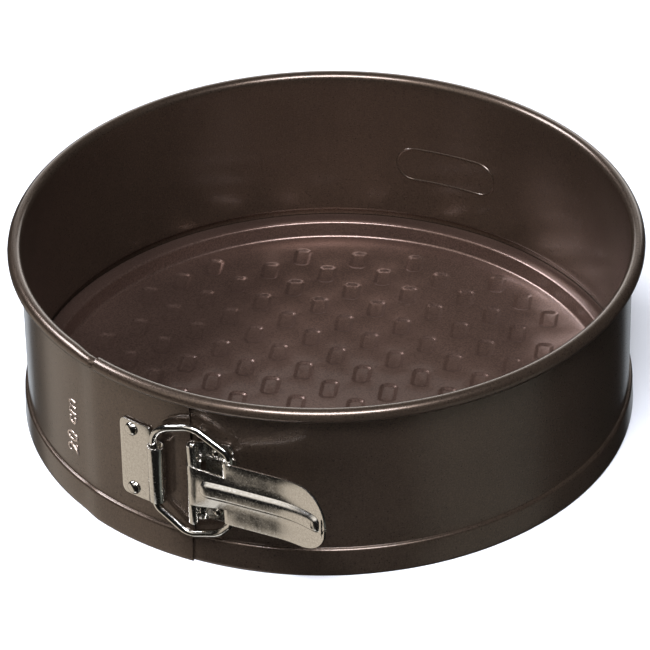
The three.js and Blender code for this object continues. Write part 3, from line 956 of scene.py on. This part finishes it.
# %% Ears, curl and rib
def curl_edge(x, centre, low, high, steps):
    """Spins the sheet's edge at x round a centre, from the outside inwards, by 240 degrees."""
    choose(lever, "EDGE", lambda co: abs(co.x - x) < 0.01 and low < co.z - MID_Z < high)
    bpy.ops.mesh.spin(steps=steps, angle=math.radians(CURL_SWEEP), center=plan(*centre), axis=(0, 0, 1))


for sign in (-1, 1):
    low, high = sorted((sign * (EAR_INNER - 0.05), sign * (PADDLE_HALF + 0.1)))
    curl_edge(EAR[0], EAR, low, high, 20)
curl_edge(PIN[0], PIN, -TONGUE_HALF - 0.1, TONGUE_HALF + 0.1, 20)


def is_rib(co):
    """Whether a place lies on the rib's outline or inside it."""
    return 4.6 < co.x < 48.2 and abs(co.z - MID_Z) < RIB_HALF + 0.05 and co.y < -lever_out(co.x) + 0.05


choose(lever, "FACE", is_rib)
for across, out in RIB_RINGS:
    bpy.ops.mesh.inset(thickness=across * MM, depth=out * MM, use_even_offset=False)
sheet_metal(lever, LEVER_SHEET, edge=LEVER_EDGE, even=False)
finish_piece(lever, nickel, angle=40)
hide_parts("lever")
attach(lever, "lever")

# %% [markdown]
# ## Floor and light
# The pan stands on a pale floor. The main soft light hangs high in front, a little to the right, and a
# weaker one hangs at the left. Both are slightly cool. A weak, wide and low one shines from behind.

# %% Floor
FLOOR_SIZE = 6

clear_selection()
bpy.ops.mesh.primitive_plane_add(size=FLOOR_SIZE)
floor = bpy.context.object
floor.name = "floor"
paper = new_material("white_studio_paper")
grain = add_node(paper, "ShaderNodeTexNoise", {}, {"Scale": 300.0, "Detail": 2.0})
tone = add_node(paper, "ShaderNodeMix", {"data_type": "RGBA"}, {
    "Factor": grain.outputs["Fac"], "A": colour("#f2f2f2"), "B": colour("#f6f6f6")})
matt = add_node(paper, "ShaderNodeBsdfPrincipled", {}, {
    "Base Color": tone.outputs["Result"], "Roughness": 0.9})
add_node(paper, "ShaderNodeOutputMaterial", {}, {"Surface": matt.outputs["BSDF"]})
floor.data.materials.append(paper)
print("floor", floor.name)

# %% Lights
def soft_light(name, turn, distance, height, size, power, tint="#ffffff"):
    """A rectangular soft light that points at the pan's middle."""
    clear_selection()
    bpy.ops.object.light_add(type="AREA", location=around(turn, distance, height))
    light = bpy.context.object
    light.name = name
    light.data.shape = "RECTANGLE"
    light.data.size, light.data.size_y = size
    light.data.energy = power
    light.data.color = colour(tint)[:3]
    light.rotation_euler = (plan(0, 0, MIDDLE_Z) - light.location).to_track_quat("-Z", "Y").to_euler()


soft_light("overhead", 22, 900, 1500, (1.1, 0.5), 58, "#eef2ff")
soft_light("left", -88, 1100, 1150, (0.8, 0.4), 24, "#eef2ff")
soft_light("behind", 200, 1500, 520, (1.6, 0.4), 5)
bpy.context.scene.view_settings.view_transform = "Standard"

# %% [markdown]
# ## The room that the metal reflects
# Bright metal shows its room more than its own colour. The floor is kept out of sharp reflections, and
# the room is drawn by direction: nearly black, with nine pale cards. A broad warm card is low at the
# left, with a weak one behind it and a narrow cool one further round. A small bright card is low under
# the latch, and one up in front lights the tops of the wire and the rib. A weak one is low at the
# right, and three stand at the back. Each card is a soft-edged patch round a direction.

# %% Room
def patch(world, direction, middle, wide, edge):
    """A soft-edged round patch of the room: one inside, nought outside. Angles are in degrees."""
    turn, lift = (math.radians(a) for a in middle)
    towards = (math.sin(turn) * math.cos(lift), -math.cos(turn) * math.cos(lift), math.sin(lift))
    facing = add_node(world, "ShaderNodeVectorMath", {"operation": "DOT_PRODUCT"}, {
        0: direction, 1: towards})
    return add_node(world, "ShaderNodeMapRange", {"interpolation_type": "SMOOTHSTEP"}, {
        "Value": facing.outputs["Value"], "From Min": math.cos(math.radians(wide + edge)),
        "From Max": math.cos(math.radians(wide - edge))}).outputs["Result"]


world = bpy.data.worlds.new("studio")
bpy.context.scene.world = world
world.use_nodes = True
world.node_tree.nodes.clear()
direction = add_node(world, "ShaderNodeTexCoord", {}, {}).outputs["Generated"]
room = colour("#191816")
# Each card: its angle round the pan and its elevation, half width, soft edge, tint and level.
CARDS = (
    ((-70, -32), 32, 5, "#fff4e6", 0.7),
    ((-106, -32), 20, 12, "#fff4e8", 0.08),
    ((-139, -30), 8, 3, "#eef6ff", 1.0),
    ((-27, -64), 9, 3, "#ffffff", 1.4),
    ((-26, 36), 17, 8, "#fffaf4", 1.1),
    ((85, -34), 20, 8, "#f4fff8", 0.25),
    ((188, -26), 9, 5, "#eef6ff", 0.7),
    ((204, 37), 10, 6, "#ffffff", 0.6),
    ((200, 4), 20, 12, "#ffffff", 0.8),
)
for middle, wide, edge, tint, level in CARDS:
    shape = patch(world, direction, middle, wide, edge)
    glow = add_node(world, "ShaderNodeMath", {"operation": "MULTIPLY"}, {0: shape, 1: level}).outputs[0]
    room = add_node(world, "ShaderNodeMix", {
        "data_type": "RGBA", "blend_type": "ADD", "clamp_factor": False}, {
            "Factor": glow, "A": room, "B": colour(tint)}).outputs["Result"]
sky = add_node(world, "ShaderNodeBackground", {}, {"Color": room, "Strength": 1.0})
add_node(world, "ShaderNodeOutputWorld", {}, {"Surface": sky.outputs["Background"]})
floor.visible_glossy = False
print("cards in the room", len(CARDS))
